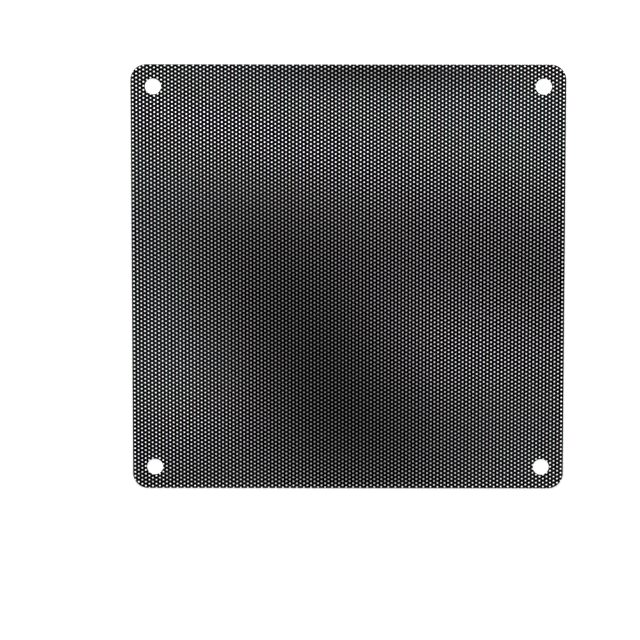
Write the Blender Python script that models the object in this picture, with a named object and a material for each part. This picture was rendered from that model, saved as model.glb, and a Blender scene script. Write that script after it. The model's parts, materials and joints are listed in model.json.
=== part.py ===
"""Fan dust filter: one thin square sheet of black plastic net for a face of a 140 mm cooling fan.

The sheet lies flat with its underside at Z = 0 and its centre over the origin. Lengths are in metres.
Its corners are rounded and a screw hole is punched near each of them. The net is too fine to cut out
here, so each six-sided opening stands for about a hundred of its own, at about their share of open area.
"""

import math

import bmesh
import bpy
from mathutils import Matrix, Vector

# The sheet
SHEET_SIDE = 0.140
SHEET_THICKNESS = 0.0005
CORNER_RADIUS = 0.005

# The screw holes, one in each corner
SCREW_HOLE_DIAMETER = 0.0057   # the punched hole with the fine openings that it runs into
SCREW_HOLE_INSET = 0.0072      # from the sheet's edges to the hole's centre

# The net's openings, in columns along Y that are staggered by half a pitch
OPENING_PITCH = 0.0138         # between the centres of two neighbours
OPENING_WIDTH = 0.0082         # from flat to flat

# How finely the round shapes are drawn
SIDES_PER_CORNER = 8
SCREW_HOLE_SIDES = 24
OPENING_SIDES = 6

CUTTER_OVERRUN = 0.001         # how far a cutter stands out of each face

# Soft plastic, nearly black and slightly shiny
NET_COLOUR = (0.012, 0.012, 0.013, 1.0)
NET_ROUGHNESS = 0.42
NET_METALLIC = 0.0

CUTTER_DEPTH = SHEET_THICKNESS + 2 * CUTTER_OVERRUN
SCREW_HOLE_RADIUS = SCREW_HOLE_DIAMETER / 2
SCREW_HOLE_OFFSET = SHEET_SIDE / 2 - SCREW_HOLE_INSET
OPENING_RADIUS = OPENING_WIDTH / 2 / math.cos(math.pi / OPENING_SIDES)
COLUMN_SPACING = OPENING_PITCH * math.cos(math.pi / OPENING_SIDES)
LEAST_STRIP = (OPENING_PITCH - OPENING_WIDTH) / 2    # half a strand, at the edges and screw holes


def clear_scene():
    """Remove every object that the scene holds."""
    for item in list(bpy.data.objects):
        bpy.data.objects.remove(item, do_unlink=True)


def new_collection(name):
    """Add a collection to the scene."""
    collection = bpy.data.collections.new(name)
    bpy.context.scene.collection.children.link(collection)
    return collection


def net_plastic():
    """The one material of the sheet."""
    material = bpy.data.materials.new("net_plastic")
    material.use_nodes = True
    shader = material.node_tree.nodes["Principled BSDF"]
    shader.inputs["Base Color"].default_value = NET_COLOUR
    shader.inputs["Roughness"].default_value = NET_ROUGHNESS
    shader.inputs["Metallic"].default_value = NET_METALLIC
    return material


def rounded_square(side, radius, sides_per_corner):
    """The sheet's outline, anticlockwise, as points on the XY plane."""
    points = []
    for corner in range(4):
        start = corner * math.pi / 2
        centre = Matrix.Rotation(start, 2) @ Vector((1, 1)) * (side / 2 - radius)
        for step in range(sides_per_corner + 1):
            angle = start + step / sides_per_corner * math.pi / 2
            points.append(centre + radius * Vector((math.cos(angle), math.sin(angle))))
    return points


def solid_sheet(name, outline, thickness, collection):
    """A plate of the given outline whose underside lies at Z = 0, as a closed mesh."""
    curve = bpy.data.curves.new(name + "_outline", "CURVE")
    curve.dimensions = "2D"
    curve.fill_mode = "BOTH"
    curve.extrude = thickness / 2
    spline = curve.splines.new("POLY")
    spline.points.add(len(outline) - 1)
    for control, point in zip(spline.points, outline):
        control.co = (point.x, point.y, 0, 1)
    spline.use_cyclic_u = True

    drawn = bpy.data.objects.new(name + "_outline", curve)
    drawn.location.z = thickness / 2
    collection.objects.link(drawn)
    depsgraph = bpy.context.evaluated_depsgraph_get()
    mesh = bpy.data.meshes.new_from_object(drawn.evaluated_get(depsgraph))
    mesh.name = name
    weld = bmesh.new()
    weld.from_mesh(mesh)
    bmesh.ops.remove_doubles(weld, verts=weld.verts, dist=thickness / 100)
    weld.to_mesh(mesh)
    weld.free()

    sheet = bpy.data.objects.new(name, mesh)
    sheet.matrix_world = drawn.matrix_world
    collection.objects.link(sheet)
    bpy.data.objects.remove(drawn, do_unlink=True)
    return sheet


def prism_cutter(name, centres, radius, sides, turn, collection):
    """Upright prisms through the sheet, one at each centre, each turned from having a corner at +Y."""
    shape = bmesh.new()
    for x, y in centres:
        bmesh.ops.create_cone(
            shape, cap_ends=True, segments=sides, radius1=radius, radius2=radius, depth=CUTTER_DEPTH,
            matrix=Matrix.Translation((x, y, SHEET_THICKNESS / 2)) @ Matrix.Rotation(turn, 4, "Z"))
    mesh = bpy.data.meshes.new(name)
    shape.to_mesh(mesh)
    shape.free()
    cutter = bpy.data.objects.new(name, mesh)
    cutter.hide_render = True
    cutter.display_type = "WIRE"
    collection.objects.link(cutter)
    return cutter


def screw_hole_centres():
    """One hole near each corner, on a square."""
    return [(across * SCREW_HOLE_OFFSET, along * SCREW_HOLE_OFFSET)
            for across in (-1, 1) for along in (-1, 1)]


def depth_inside_outline(x, y):
    """How far a point lies inside the rounded square, and less than nothing outside it."""
    past_x = abs(x) - (SHEET_SIDE / 2 - CORNER_RADIUS)
    past_y = abs(y) - (SHEET_SIDE / 2 - CORNER_RADIUS)
    in_corner = math.hypot(max(past_x, 0), max(past_y, 0))
    return CORNER_RADIUS - in_corner - min(max(past_x, past_y), 0)


def clear_of_screw_holes(x, y):
    """Whether an opening at this point leaves a whole strip round every screw hole."""
    reach = SCREW_HOLE_RADIUS + LEAST_STRIP + OPENING_RADIUS
    return all(math.hypot(x - hole_x, y - hole_y) >= reach for hole_x, hole_y in screw_hole_centres())


def opening_centres():
    """The staggered lattice of openings, as far as whole openings fit on the sheet."""
    columns = math.ceil(SHEET_SIDE / 2 / COLUMN_SPACING)
    rows = math.ceil(SHEET_SIDE / 2 / OPENING_PITCH)
    centres = []
    for column in range(-columns, columns + 1):
        stagger = column % 2 / 2
        for row in range(-rows, rows + 1):
            x = column * COLUMN_SPACING
            y = (row + stagger) * OPENING_PITCH
            whole = depth_inside_outline(x, y) >= OPENING_RADIUS + LEAST_STRIP
            if whole and clear_of_screw_holes(x, y):
                centres.append((x, y))
    return centres


def cut(target, cutter):
    """Take the cutter's shape out of the target."""
    modifier = target.modifiers.new("cut_" + cutter.name, "BOOLEAN")
    modifier.operation = "DIFFERENCE"
    modifier.object = cutter


def build_filter():
    """The whole filter: the sheet, its net of openings and its screw holes."""
    parts = new_collection("fan_dust_filter")
    cutters = new_collection("cutters")
    outline = rounded_square(SHEET_SIDE, CORNER_RADIUS, SIDES_PER_CORNER)
    sheet = solid_sheet("filter_net", outline, SHEET_THICKNESS, parts)
    sheet.data.materials.append(net_plastic())
    flats_across = math.pi / OPENING_SIDES
    cut(sheet, prism_cutter(
        "net_openings", opening_centres(), OPENING_RADIUS, OPENING_SIDES, flats_across, cutters))
    cut(sheet, prism_cutter(
        "screw_holes", screw_hole_centres(), SCREW_HOLE_RADIUS, SCREW_HOLE_SIDES, 0, cutters))


clear_scene()
build_filter()
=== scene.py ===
"""The looks of a fan dust filter: a thin black plastic net, perforated all over, with four screw holes.

The net is built at its real fineness, as a staggered lattice of six-sided openings that runs right up to
the cut edges and the punched screw holes. Lengths are in metres, and the sheet lies flat on the floor.
"""

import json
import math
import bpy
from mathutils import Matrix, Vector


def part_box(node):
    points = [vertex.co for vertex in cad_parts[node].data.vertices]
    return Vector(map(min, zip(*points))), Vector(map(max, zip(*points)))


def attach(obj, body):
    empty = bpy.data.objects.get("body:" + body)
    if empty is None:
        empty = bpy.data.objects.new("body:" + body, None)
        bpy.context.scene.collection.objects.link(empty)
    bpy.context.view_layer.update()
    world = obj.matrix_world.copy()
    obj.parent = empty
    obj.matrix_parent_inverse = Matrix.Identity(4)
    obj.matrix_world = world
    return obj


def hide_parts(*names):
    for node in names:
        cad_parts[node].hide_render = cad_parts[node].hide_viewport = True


bl_info = {
    "name": "Fan dust filter",
    "version": (1, 0, 0),
    "blender": (4, 5, 0),
    "location": "View3D > Sidebar > Fan filter",
    "description": "Makes the perforated net of a fan dust filter and its studio stage",
    "category": "Add Mesh",
}

import bmesh
import bpy
import numpy as np
from mathutils import Matrix, Vector

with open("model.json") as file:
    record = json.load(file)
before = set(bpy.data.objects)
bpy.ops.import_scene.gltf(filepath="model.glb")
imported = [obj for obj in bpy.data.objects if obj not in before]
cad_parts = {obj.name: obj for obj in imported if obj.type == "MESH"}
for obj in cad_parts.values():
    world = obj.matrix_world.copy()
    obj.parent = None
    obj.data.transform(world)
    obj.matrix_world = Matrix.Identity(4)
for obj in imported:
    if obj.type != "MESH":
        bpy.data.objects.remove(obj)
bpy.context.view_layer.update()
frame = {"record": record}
SHEET_LOW, SHEET_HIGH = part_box("filter_net")
SHEET_SIDE = SHEET_HIGH.x - SHEET_LOW.x
SHEET_THICKNESS = SHEET_HIGH.z - SHEET_LOW.z
SCREW_HOLE_BOXES = [opening["box_m"] for opening in frame["record"]["physics"]["openings"]]

# How the net is made
CELL_SIDES = 6               # a cell of the net has as many sides as its opening
STRIP_COUNT = 5              # the net is made in strips, each under 200,000 triangles
CORNER_STEPS = 12            # straight pieces in each rounded corner
SCREW_HOLE_STEPS = 48        # straight pieces round each screw hole
CELL_JOINING = 200.0         # cells are joined at corners that are within the pitch divided by this
WELD_DISTANCE = SHEET_THICKNESS / 100    # other corners that are nearer than this become one
SMOOTH_BELOW = math.radians(70)          # creases sharper than this stay sharp

# The plastic's soft clouds of shine and its fine grain
CLOUD_SCALE = 60.0           # in each metre
CLOUD_DETAIL = 3.0
CLOUD_RANGE = (0.3, 0.7)     # between these values of the clouds, the roughness goes from least to most
GRAIN_DETAIL = 2.0
GRAIN_STRENGTH = 0.15
GRAIN_SIZE_TO_DEPTH = 10     # how many times as wide as deep the grain is

# The floor, the backdrop and the lamps
FLOOR_SIDE = 40.0
FLOOR_GAP = 0.00002          # from the floor up to the sheet's underside
FLOOR_ROUGHNESS = 0.9
SHADOW_FLOOR = SHEET_SIDE            # up to this far from the sheet's middle, the floor round it keeps shadow
WHITE_FLOOR = 4 * SHEET_SIDE         # from this reach on, the floor is white all over
BACKDROP_TOP = math.radians(15)      # the backdrop is white up to this height
CEILING_START = math.radians(40)     # and dark from this height on
LAMP_PLACES = {"lamp_far_left": (-0.78, 0.78, 1.2), "lamp_far_right": (0.78, 0.78, 1.2)}

# Shade painted on the floor under the sheet, in soft patches: depth, centre, radii and turn in degrees.
# Another script fitted these values to the photograph's mean tones over the net, and they were rounded
SHADE_PATCHES = (
    (1.47, (-0.009, -0.028), (0.019, 0.034), 33),
    (0.71, (0.035, 0.008), (0.066, 0.018), -7),
    (0.85, (0.010, 0.069), (0.028, 0.005), -2),
    (0.42, (-0.009, -0.058), (0.095, 0.015), 8),
)
SHADE_TINT = (1.0, 0.955, 1.0)       # the floor's tint there, without which the openings look green
SHADE_SOFTNESS = 0.002       # how far in from the sheet's cut edges the shade reaches its full depth
WHITE_SOFTNESS = 0.0003      # the same for the white, a painted glow under the net, that is seen through the openings


class NetSettings(bpy.types.PropertyGroup):
    """Sizes of the net, its openings and its punched holes."""

    pitch: bpy.props.FloatProperty(
        name="Pitch", description="Distance between the centres of two neighbouring openings",
        default=0.0013224, min=0.0005, precision=5, unit="LENGTH")
    opening_width: bpy.props.FloatProperty(
        name="Opening width", description="Width of an opening from flat to flat",
        default=0.00055, min=0.0001, precision=5, unit="LENGTH")
    strand_rounding: bpy.props.FloatProperty(
        name="Strand rounding", description="How far a strand's rounded edge reaches in from an opening",
        default=0.00008, min=0.0, precision=5, unit="LENGTH")
    strand_crown: bpy.props.FloatProperty(
        name="Strand crown", description="How much higher a strand's middle is than the start of its edge",
        default=0.00002, min=0.0, precision=5, unit="LENGTH")
    row_rise: bpy.props.FloatProperty(
        name="Row rise", description="How much the rows of openings climb to the right against the cut edge",
        default=math.radians(0.22), subtype="ANGLE")
    net_shift: bpy.props.FloatVectorProperty(
        name="Net shift", description="Where the middle opening lies from the middle of the sheet",
        default=(-0.00058, 0.00040), size=2, precision=5, subtype="TRANSLATION", unit="LENGTH")
    corner_radius: bpy.props.FloatProperty(
        name="Corner radius", description="Radius of the sheet's rounded corners",
        default=0.005, min=0.0, precision=4, unit="LENGTH")
    punch_diameter: bpy.props.FloatProperty(
        name="Punch diameter", description="Diameter of the punched screw holes",
        default=0.0052, min=0.0, precision=4, unit="LENGTH")


class FinishSettings(bpy.types.PropertyGroup):
    """Colour and shine of the net's plastic, both set below usual values to match the photograph's blacks."""

    plastic_colour: bpy.props.FloatVectorProperty(
        name="Plastic colour", description="Colour of the net's soft plastic",
        default=(0.0012, 0.0012, 0.0013), size=3, min=0.0, max=1.0, subtype="COLOR")
    plastic_specular: bpy.props.FloatProperty(
        name="Specular level", description="How strongly the plastic reflects what it faces",
        default=0.05, min=0.0, max=1.0, subtype="FACTOR")
    plastic_roughness: bpy.props.FloatProperty(
        name="Roughness", description="Mean roughness of the plastic, from glossy to dull",
        default=0.35, min=0.0, max=1.0, subtype="FACTOR")
    roughness_spread: bpy.props.FloatProperty(
        name="Roughness spread", description="How far the roughness varies over the sheet",
        default=0.05, min=0.0, max=0.5, subtype="FACTOR")
    grain_size: bpy.props.FloatProperty(
        name="Grain size", description="Size of the fine unevenness of the plastic's skin",
        default=0.0003, min=0.00001, precision=5, unit="LENGTH")


class StageSettings(bpy.types.PropertyGroup):
    """Floor, light and camera."""

    floor_colour: bpy.props.FloatVectorProperty(
        name="Floor colour", description="Colour of the plain pale floor",
        default=(0.6, 0.6, 0.6), size=3, min=0.0, max=1.0, subtype="COLOR")
    floor_white: bpy.props.FloatProperty(
        name="Floor white", description="How much white the floor adds round the sheet, where it is seen",
        default=0.55, min=0.0, max=1.0, subtype="FACTOR")
    sky_light: bpy.props.FloatProperty(
        name="Sky light", description="Strength of the even light from all round",
        default=0.04, min=0.0, max=1.0, subtype="FACTOR")
    lamp_power: bpy.props.FloatProperty(
        name="Lamp power", description="Power of each of the two soft lamps",
        default=16.0, min=0.0, unit="POWER")
    lamp_size: bpy.props.FloatProperty(
        name="Lamp size", description="Side of each square soft lamp",
        default=0.8, min=0.01, unit="LENGTH")
    camera_distance: bpy.props.FloatProperty(
        name="Camera distance", description="Distance from the camera to the middle of the sheet",
        default=1.9, min=0.2, unit="LENGTH")
    camera_tilt: bpy.props.FloatProperty(
        name="Camera tilt", description="How far the camera leans from straight above, over the far edge",
        default=math.radians(11.76), subtype="ANGLE")
    camera_target: bpy.props.FloatVectorProperty(
        name="Camera target", description="Place on the floor at the middle of the picture",
        default=(-0.0091, -0.01403), size=2, precision=5, subtype="TRANSLATION", unit="LENGTH")
    focal_length: bpy.props.FloatProperty(
        name="Focal length", description="Focal length in millimetres on a 36 mm wide picture",
        default=330.3, min=1.0)


def new_object(name, mesh):
    """Add an object at the origin to the scene."""
    made = bpy.data.objects.new(name, mesh)
    bpy.context.scene.collection.objects.link(made)
    return made


def evaluated_mesh(source):
    """The object's mesh as its modifiers leave it."""
    depsgraph = bpy.context.evaluated_depsgraph_get()
    return bpy.data.meshes.new_from_object(source.evaluated_get(depsgraph))


def column_spacing(settings):
    """Distance between two columns of a lattice whose neighbours are all one pitch apart."""
    return settings.pitch * math.cos(math.pi / CELL_SIDES)


def net_cell(settings):
    """One six-sided cell of the net: an opening with half of each strand round it, rounded on both faces."""
    half_pitch = settings.pitch / 2
    half_opening = settings.opening_width / 2
    edge = half_opening + settings.strand_rounding
    low, high = SHEET_LOW.z, SHEET_HIGH.z
    crown = settings.strand_crown
    wall = crown + settings.strand_rounding
    section = [
        (half_pitch, high), (edge, high - crown), (half_opening, high - wall),
        (half_opening, low + wall), (edge, low + crown), (half_pitch, low)]
    turns = [math.radians(360 / CELL_SIDES * corner) for corner in range(CELL_SIDES)]
    shape = bmesh.new()
    rings = []
    for to_side, height in section:
        to_corner = to_side / math.cos(math.pi / CELL_SIDES)
        places = [(to_corner * math.cos(turn), to_corner * math.sin(turn), height) for turn in turns]
        rings.append([shape.verts.new(place) for place in places])
    for outer, inner in zip(rings, rings[1:]):
        for corner in range(CELL_SIDES):
            following = (corner + 1) % CELL_SIDES
            shape.faces.new((outer[corner], outer[following], inner[following], inner[corner]))
    mesh = bpy.data.meshes.new("net_cell")
    shape.to_mesh(mesh)
    shape.free()
    return new_object("net_cell", mesh)


def add_node(tree, kind, links=(), **values):
    """Add a node, set its options and the inputs that are named, and link the sockets that are given."""
    node = tree.nodes.new(kind)
    for key, value in values.items():
        setattr(node, key, value)
    for socket, source in links:
        if isinstance(source, bpy.types.NodeSocket):
            tree.links.new(source, node.inputs[socket])
        else:
            node.inputs[socket].default_value = source
    return node


def maths(tree, operation, *operands):
    """A Math node on sockets or numbers, and its result."""
    return add_node(tree, "ShaderNodeMath", enumerate(operands), operation=operation).outputs[0]


def net_field_tree():
    """Geometry nodes: cells on a staggered lattice, joined into one open plate and sheared to the sheet."""
    tree = bpy.data.node_groups.new("net_field", "GeometryNodeTree")
    inputs = {
        "Cell": "NodeSocketObject", "Pitch": "NodeSocketFloat", "Column Spacing": "NodeSocketFloat",
        "First Column": "NodeSocketInt", "Columns": "NodeSocketInt", "Rows": "NodeSocketInt",
        "Row Slope": "NodeSocketFloat", "Net Shift": "NodeSocketVector", "Plastic": "NodeSocketMaterial"}
    for name, kind in inputs.items():
        tree.interface.new_socket(name, in_out="INPUT", socket_type=kind)
    tree.interface.new_socket("Net", in_out="OUTPUT", socket_type="NodeSocketGeometry")
    given = tree.nodes.new("NodeGroupInput").outputs

    index = tree.nodes.new("GeometryNodeInputIndex").outputs["Index"]
    column = maths(tree, "ADD", maths(tree, "FLOOR", maths(tree, "DIVIDE", index, given["Rows"])),
                   given["First Column"])
    row = maths(tree, "SUBTRACT", maths(tree, "MODULO", index, given["Rows"]),
                maths(tree, "FLOOR", maths(tree, "DIVIDE", given["Rows"], 2.0)))
    stagger = maths(tree, "DIVIDE", maths(tree, "FLOORED_MODULO", column, 2.0), 2.0)
    place = add_node(tree, "ShaderNodeCombineXYZ", {
        "X": maths(tree, "MULTIPLY", column, given["Column Spacing"]),
        "Y": maths(tree, "MULTIPLY", maths(tree, "ADD", row, stagger), given["Pitch"])}.items())
    points = add_node(tree, "GeometryNodePoints", {
        "Count": maths(tree, "MULTIPLY", given["Columns"], given["Rows"]),
        "Position": place.outputs["Vector"]}.items())
    cell = add_node(tree, "GeometryNodeObjectInfo", {"Object": given["Cell"]}.items())
    placed = add_node(tree, "GeometryNodeInstanceOnPoints", {
        "Points": points.outputs["Points"], "Instance": cell.outputs["Geometry"]}.items())
    real = add_node(tree, "GeometryNodeRealizeInstances", {
        "Geometry": placed.outputs["Instances"]}.items())
    joined = add_node(tree, "GeometryNodeMergeByDistance", {
        "Geometry": real.outputs["Geometry"],
        "Distance": maths(tree, "DIVIDE", given["Pitch"], CELL_JOINING)}.items())
    position = add_node(tree, "ShaderNodeSeparateXYZ", {
        "Vector": tree.nodes.new("GeometryNodeInputPosition").outputs["Position"]}.items())
    climb = add_node(tree, "ShaderNodeCombineXYZ", {
        "Y": maths(tree, "MULTIPLY", position.outputs["X"], given["Row Slope"])}.items())
    move = add_node(tree, "ShaderNodeVectorMath", enumerate(
        (climb.outputs["Vector"], given["Net Shift"])), operation="ADD")
    sheared = add_node(tree, "GeometryNodeSetPosition", {
        "Geometry": joined.outputs["Geometry"], "Offset": move.outputs["Vector"]}.items())
    finished = add_node(tree, "GeometryNodeSetMaterial", {
        "Geometry": sheared.outputs["Geometry"], "Material": given["Plastic"]}.items())
    add_node(tree, "NodeGroupOutput", {"Net": finished.outputs["Geometry"]}.items())
    return tree


def net_field(tree, cell, columns, rows, settings, plastic):
    """The plate that a run of columns makes, before its border is closed."""
    carrier = new_object("net_field", bpy.data.meshes.new("net_field"))
    modifier = carrier.modifiers.new("net_field", "NODES")
    modifier.node_group = tree
    values = {
        "Cell": cell, "Pitch": settings.pitch, "Column Spacing": column_spacing(settings),
        "First Column": columns.start, "Columns": len(columns), "Rows": rows,
        "Row Slope": math.tan(settings.row_rise), "Net Shift": (*settings.net_shift, 0.0),
        "Plastic": plastic}
    for item in tree.interface.items_tree:
        if item.in_out == "INPUT":
            modifier[item.identifier] = values[item.name]
    mesh = evaluated_mesh(carrier)
    bpy.data.objects.remove(carrier)
    return mesh


def close_border(mesh):
    """Join the open borders of the two faces by a wall, so that the plate is a closed solid."""
    shape = bmesh.new()
    shape.from_mesh(mesh)
    middle = (SHEET_LOW.z + SHEET_HIGH.z) / 2
    border = [edge for edge in shape.edges if edge.is_boundary]
    upper = [edge for edge in border if edge.verts[0].co.z > middle]
    lower_corners = {corner for edge in border if edge.verts[0].co.z < middle for corner in edge.verts}
    wall = bmesh.ops.extrude_edge_only(shape, edges=upper)["geom"]
    wall_corners = [item for item in wall if isinstance(item, bmesh.types.BMVert)]
    for corner in wall_corners:
        corner.co.z = SHEET_LOW.z
    bmesh.ops.remove_doubles(shape, verts=wall_corners + list(lower_corners), dist=WELD_DISTANCE)
    bmesh.ops.recalc_face_normals(shape, faces=shape.faces)
    shape.to_mesh(mesh)
    shape.free()


def sheet_outline(corner_radius):
    """The rounded square that the sheet is cut to, anticlockwise."""
    points = []
    for corner in range(4):
        start = math.radians(90 * corner)
        centre = Matrix.Rotation(start, 2) @ Vector((1, 1)) * (SHEET_SIDE / 2 - corner_radius)
        for step in range(CORNER_STEPS + 1):
            turn = start + math.radians(90) * step / CORNER_STEPS
            points.append(centre + corner_radius * Vector((math.cos(turn), math.sin(turn))))
    return points


def hole_centre(box):
    """The middle of a screw hole, which is the middle of its opening in the solid."""
    (low_x, low_y, _), (high_x, high_y, _) = box
    return Vector((low_x + high_x, low_y + high_y)) / 2


def punched_circle(box, diameter):
    """The circle that one screw hole is punched to."""
    centre = hole_centre(box)
    turns = [math.radians(360) * step / SCREW_HOLE_STEPS for step in range(SCREW_HOLE_STEPS)]
    return [centre + diameter / 2 * Vector((math.cos(turn), math.sin(turn))) for turn in turns]


def cutting_block(settings):
    """A block with the sheet's outline and screw holes, which stands out past both faces."""
    curve = bpy.data.curves.new("cutting_block", "CURVE")
    curve.dimensions = "2D"
    curve.fill_mode = "BOTH"
    curve.extrude = SHEET_THICKNESS
    circles = [punched_circle(box, settings.punch_diameter) for box in SCREW_HOLE_BOXES]
    for loop in [sheet_outline(settings.corner_radius), *circles]:
        spline = curve.splines.new("POLY")
        spline.points.add(len(loop) - 1)
        for control, point in zip(spline.points, loop):
            control.co = (point.x, point.y, (SHEET_LOW.z + SHEET_HIGH.z) / 2, 1)
        spline.use_cyclic_u = True
    drawn = new_object("cutting_block", curve)
    mesh = evaluated_mesh(drawn)
    bpy.data.objects.remove(drawn)
    shape = bmesh.new()
    shape.from_mesh(mesh)
    bmesh.ops.remove_doubles(shape, verts=shape.verts, dist=WELD_DISTANCE)
    bmesh.ops.recalc_face_normals(shape, faces=shape.faces)
    shape.to_mesh(mesh)
    shape.free()
    return new_object("cutting_block", mesh)


def cut_to_shape(name, mesh, block):
    """What the block leaves of the plate, as a finished mesh in an object of its own."""
    rough = new_object(name + "_rough", mesh)
    cut = rough.modifiers.new("cut_to_shape", "BOOLEAN")
    cut.operation = "INTERSECT"
    cut.solver = "MANIFOLD"
    cut.object = block
    finished = evaluated_mesh(rough)
    bpy.data.objects.remove(rough)
    finished.name = name
    return new_object(name, finished)


def flat_map(mesh):
    """A map of the sheet from above, with its upper face on one half and its underside on the other."""
    corners = np.empty(len(mesh.loops), dtype=np.int32)
    mesh.loops.foreach_get("vertex_index", corners)
    places = np.empty(len(mesh.vertices) * 3)
    mesh.vertices.foreach_get("co", places)
    places = places.reshape(-1, 3)
    low, high = places.min(axis=0), places.max(axis=0)
    across = (places[corners] - low) / (high - low)
    normals = np.empty(len(mesh.polygons) * 3)
    mesh.polygons.foreach_get("normal", normals)
    sides = np.empty(len(mesh.polygons), dtype=np.int32)
    mesh.polygons.foreach_get("loop_total", sides)
    faces_down = np.repeat(normals.reshape(-1, 3)[:, 2] < 0, sides)
    flat = np.stack([(across[:, 0] + faces_down) / 2, across[:, 1]], axis=1)
    layer = mesh.uv_layers.new(name="OFBake")
    layer.data.foreach_set("uv", flat.astype(np.float32).ravel())


def net_plastic(settings):
    """Soft black plastic: a faint sheen, a little uneven, and a fine grain in its skin."""
    material = bpy.data.materials.new("net_plastic")
    material.use_nodes = True
    tree = material.node_tree
    shader = tree.nodes["Principled BSDF"]
    shader.inputs["Base Color"].default_value = (*settings.plastic_colour, 1.0)
    shader.inputs["Specular IOR Level"].default_value = settings.plastic_specular
    place = tree.nodes.new("ShaderNodeTexCoord").outputs["Object"]
    clouds = add_node(tree, "ShaderNodeTexNoise", {
        "Vector": place, "Scale": CLOUD_SCALE, "Detail": CLOUD_DETAIL}.items())
    shine = add_node(tree, "ShaderNodeMapRange", {
        "Value": clouds.outputs["Fac"], "From Min": CLOUD_RANGE[0], "From Max": CLOUD_RANGE[1],
        "To Min": settings.plastic_roughness - settings.roughness_spread,
        "To Max": settings.plastic_roughness + settings.roughness_spread}.items())
    tree.links.new(shine.outputs["Result"], shader.inputs["Roughness"])
    grain = add_node(tree, "ShaderNodeTexNoise", {
        "Vector": place, "Scale": 1 / settings.grain_size, "Detail": GRAIN_DETAIL}.items())
    bump = add_node(tree, "ShaderNodeBump", {
        "Height": grain.outputs["Fac"], "Strength": GRAIN_STRENGTH,
        "Distance": settings.grain_size / GRAIN_SIZE_TO_DEPTH}.items())
    tree.links.new(bump.outputs["Normal"], shader.inputs["Normal"])
    return material


def strips_of_columns(settings):
    """The columns that cover the sheet, shared out among the strips."""
    reach = SHEET_SIDE / 2 + settings.pitch + abs(settings.net_shift[0])
    last = math.ceil(reach / column_spacing(settings))
    shares = [round(share * (2 * last + 1) / STRIP_COUNT) - last for share in range(STRIP_COUNT + 1)]
    return [range(start, stop) for start, stop in zip(shares, shares[1:])]


def rows_of_openings(settings):
    """How many rows cover the sheet, with the rows' climb and the net's shift."""
    climb = SHEET_SIDE / 2 * math.tan(settings.row_rise)
    reach = SHEET_SIDE / 2 + climb + settings.pitch + abs(settings.net_shift[1])
    return 2 * math.ceil(reach / settings.pitch) + 1


class FANFILTER_OT_net(bpy.types.Operator):
    """Make the perforated net, cut to the sheet's outline and punched with its screw holes"""

    bl_idname = "fan_filter.net"
    bl_label = "Make the net"

    def execute(self, context):
        settings = context.scene.fan_filter_net
        plastic = net_plastic(context.scene.fan_filter_finish)
        tree = net_field_tree()
        cell = net_cell(settings)
        block = cutting_block(settings)
        rows = rows_of_openings(settings)
        for number, columns in enumerate(strips_of_columns(settings), start=1):
            plate = net_field(tree, cell, columns, rows, settings, plastic)
            close_border(plate)
            strip = cut_to_shape(f"net_strip_{number}", plate, block)
            if not strip.data.polygons:
                raise RuntimeError(f"{strip.name} came out empty")
            strip.data.shade_smooth()
            strip.data.set_sharp_from_angle(angle=SMOOTH_BELOW)
            flat_map(strip.data)
            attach(strip, "root")
            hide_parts("filter_net")
        bpy.data.objects.remove(cell)
        bpy.data.objects.remove(block)
        return {"FINISHED"}


def seen_ray(tree):
    """One for what the camera sees, straight, mirrored or through something, and nought for other light."""
    path = tree.nodes.new("ShaderNodeLightPath").outputs
    mirrored = maths(tree, "MAXIMUM", path["Is Glossy Ray"], path["Is Transmission Ray"])
    return maths(tree, "MAXIMUM", path["Is Camera Ray"], mirrored)


def under_net(tree, place, net, softness):
    """One on the floor under the net and nought elsewhere, fading in over this width from each cut edge.

    The floor is folded to one quarter, where the sheet has one rounded corner and one screw hole.
    """
    folded = add_node(tree, "ShaderNodeVectorMath", {"Vector": place}.items(), operation="ABSOLUTE")
    inner_half = SHEET_SIDE / 2 - net.corner_radius
    past_inner = add_node(tree, "ShaderNodeVectorMath", enumerate(
        (folded.outputs["Vector"], [inner_half] * 3)), operation="SUBTRACT")
    outward = add_node(tree, "ShaderNodeVectorMath", enumerate(
        (past_inner.outputs["Vector"], [0.0] * 3)), operation="MAXIMUM")
    reach = add_node(tree, "ShaderNodeVectorMath", {
        "Vector": outward.outputs["Vector"]}.items(), operation="LENGTH")
    within_sides = add_node(tree, "ShaderNodeMapRange", {
        "Value": reach.outputs["Value"], "From Min": net.corner_radius - softness,
        "From Max": net.corner_radius, "To Min": 1.0, "To Max": 0.0}.items())
    hole = [abs(coordinate) for coordinate in hole_centre(SCREW_HOLE_BOXES[0])]
    from_hole = add_node(tree, "ShaderNodeVectorMath", enumerate(
        (folded.outputs["Vector"], (*hole, 0.0))), operation="DISTANCE")
    off_holes = add_node(tree, "ShaderNodeMapRange", {
        "Value": from_hole.outputs["Value"], "From Min": net.punch_diameter / 2,
        "From Max": net.punch_diameter / 2 + softness, "To Min": 0.0, "To Max": 1.0}.items())
    return maths(tree, "MINIMUM", within_sides.outputs["Result"], off_holes.outputs["Result"])


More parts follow.
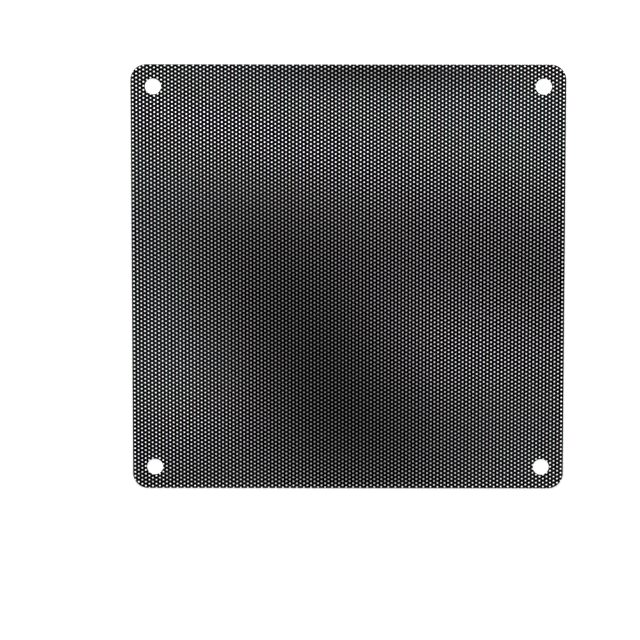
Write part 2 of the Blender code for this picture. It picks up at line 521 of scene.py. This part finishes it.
def floor_shade(tree, place, net):
    """How much of its colour the floor keeps under the net, where its shade is painted in soft patches."""
    depth_so_far = 0.0
    for depth, centre, radii, turn in SHADE_PATCHES:
        patch = add_node(tree, "ShaderNodeMapping", {
            "Vector": place, "Location": (*centre, 0.0), "Rotation": (0.0, 0.0, math.radians(turn)),
            "Scale": (*radii, 1.0)}.items(), vector_type="TEXTURE").outputs["Vector"]
        square = add_node(tree, "ShaderNodeVectorMath", enumerate((patch, patch)), operation="DOT_PRODUCT")
        bell = maths(tree, "EXPONENT", maths(tree, "MULTIPLY", square.outputs["Value"], -0.5))
        depth_so_far = maths(tree, "MULTIPLY_ADD", bell, depth, depth_so_far)
    covered = under_net(tree, place, net, SHADE_SOFTNESS)
    shade = maths(tree, "POWER", 1 / math.e, maths(tree, "MULTIPLY", depth_so_far, covered))
    tint = [maths(tree, "POWER", channel, covered) for channel in SHADE_TINT]
    return add_node(tree, "ShaderNodeCombineXYZ", enumerate(
        maths(tree, "MULTIPLY", shade, channel) for channel in tint)).outputs["Vector"]


def white_where_seen(tree, place, net, settings):
    """The white that the floor adds for the camera: full under the net, a painted glow over the net's own
    shadow there, and less round it, where shadow stays.
    """
    from_middle = add_node(tree, "ShaderNodeVectorMath", {"Vector": place}.items(), operation="LENGTH")
    round_sheet = add_node(tree, "ShaderNodeMapRange", {
        "Value": from_middle.outputs["Value"], "From Min": SHADOW_FLOOR, "From Max": WHITE_FLOOR,
        "To Min": settings.floor_white, "To Max": 1.0}.items())
    covered = under_net(tree, place, net, WHITE_SOFTNESS)
    # under the net the floor glows full white for the camera: painted light where the net's own shadow would
    # fall
    white = maths(tree, "MAXIMUM", round_sheet.outputs["Result"], covered)
    return maths(tree, "MULTIPLY", seen_ray(tree), white)


def floor_material(net, settings):
    """A plain pale floor: it looks white, shows the sheet's shadow round it, and under it a painted glow with
    painted shade.
    """
    material = bpy.data.materials.new("pale_floor")
    material.use_nodes = True
    tree = material.node_tree
    shader = tree.nodes["Principled BSDF"]
    place = tree.nodes.new("ShaderNodeTexCoord").outputs["Object"]
    shade = floor_shade(tree, place, net)
    colour = add_node(tree, "ShaderNodeVectorMath", enumerate((shade, settings.floor_colour)),
                      operation="MULTIPLY")
    tree.links.new(colour.outputs["Vector"], shader.inputs["Base Color"])
    shader.inputs["Roughness"].default_value = FLOOR_ROUGHNESS
    tree.links.new(shade, shader.inputs["Emission Color"])
    tree.links.new(white_where_seen(tree, place, net, settings), shader.inputs["Emission Strength"])
    return material


def studio_world(settings):
    """A faint even light, with a white backdrop all round the horizon and a dark ceiling above."""
    world = bpy.data.worlds.new("studio")
    world.use_nodes = True
    tree = world.node_tree
    direction = tree.nodes.new("ShaderNodeTexCoord").outputs["Generated"]
    height = add_node(tree, "ShaderNodeSeparateXYZ", {"Vector": direction}.items()).outputs["Z"]
    backdrop = add_node(tree, "ShaderNodeMapRange", {
        "Value": height, "From Min": math.sin(BACKDROP_TOP), "From Max": math.sin(CEILING_START),
        "To Min": 1.0, "To Max": 0.0}.items())
    strength = add_node(tree, "ShaderNodeMapRange", {
        "Value": maths(tree, "MULTIPLY", seen_ray(tree), backdrop.outputs["Result"]),
        "To Min": settings.sky_light, "To Max": 1.0}.items())
    background = tree.nodes["Background"]
    background.inputs["Color"].default_value = (1.0, 1.0, 1.0, 1.0)
    tree.links.new(strength.outputs["Result"], background.inputs["Strength"])
    return world


def aim(item, target):
    """Turn a lamp or camera to face a point, with the sheet's far side up."""
    back = (item.location - Vector(target)).normalized()
    right = Vector((0, 1, 0)).cross(back).normalized()
    up = back.cross(right)
    item.rotation_euler = Matrix((right, up, back)).transposed().to_euler()


def add_lamp(name, place, settings):
    """A square soft lamp that faces the middle of the sheet."""
    light = bpy.data.lights.new(name, "AREA")
    light.shape = "SQUARE"
    light.size = settings.lamp_size
    light.energy = settings.lamp_power
    lamp = bpy.data.objects.new(name, light)
    lamp.visible_camera = False
    lamp.location = place
    bpy.context.scene.collection.objects.link(lamp)
    aim(lamp, (0, 0, 0))


class FANFILTER_OT_stage(bpy.types.Operator):
    """Make the floor, the soft light and the camera"""

    bl_idname = "fan_filter.stage"
    bl_label = "Make the stage"

    def execute(self, context):
        settings = context.scene.fan_filter_stage
        bpy.ops.mesh.primitive_plane_add(size=FLOOR_SIDE, location=(0, 0, SHEET_LOW.z - FLOOR_GAP))
        floor = context.active_object
        floor.name = "floor"
        floor.data.materials.append(floor_material(context.scene.fan_filter_net, settings))

        context.scene.world = studio_world(settings)
        for name, place in LAMP_PLACES.items():
            add_lamp(name, place, settings)

        lens = bpy.data.cameras.new("camera")
        lens.lens = settings.focal_length
        camera = bpy.data.objects.new("camera", lens)
        context.scene.collection.objects.link(camera)
        tilt = settings.camera_tilt
        camera.location = Vector((0, math.sin(tilt), math.cos(tilt))) * settings.camera_distance
        aim(camera, (*settings.camera_target, 0))
        context.scene.camera = camera
        context.scene.view_settings.view_transform = "Standard"
        return {"FINISHED"}


class FANFILTER_PT_sidebar(bpy.types.Panel):
    """The filter's sizes and the buttons that make it"""

    bl_label = "Fan filter"
    bl_idname = "FANFILTER_PT_sidebar"
    bl_space_type = "VIEW_3D"
    bl_region_type = "UI"
    bl_category = "Fan filter"

    def draw(self, context):
        for settings in (context.scene.fan_filter_net, context.scene.fan_filter_finish,
                         context.scene.fan_filter_stage):
            column = self.layout.column(align=True)
            for name in settings.__annotations__:
                column.prop(settings, name)
        self.layout.operator("fan_filter.net")
        self.layout.operator("fan_filter.stage")


CLASSES = (
    NetSettings, FinishSettings, StageSettings, FANFILTER_OT_net, FANFILTER_OT_stage, FANFILTER_PT_sidebar)


def register():
    for item in CLASSES:
        bpy.utils.register_class(item)
    bpy.types.Scene.fan_filter_net = bpy.props.PointerProperty(type=NetSettings)
    bpy.types.Scene.fan_filter_finish = bpy.props.PointerProperty(type=FinishSettings)
    bpy.types.Scene.fan_filter_stage = bpy.props.PointerProperty(type=StageSettings)


def unregister():
    del bpy.types.Scene.fan_filter_stage
    del bpy.types.Scene.fan_filter_finish
    del bpy.types.Scene.fan_filter_net
    for item in reversed(CLASSES):
        bpy.utils.unregister_class(item)


def main():
    register()
    bpy.ops.fan_filter.net()
    bpy.ops.fan_filter.stage()


if __name__ == "__main__":
    main()
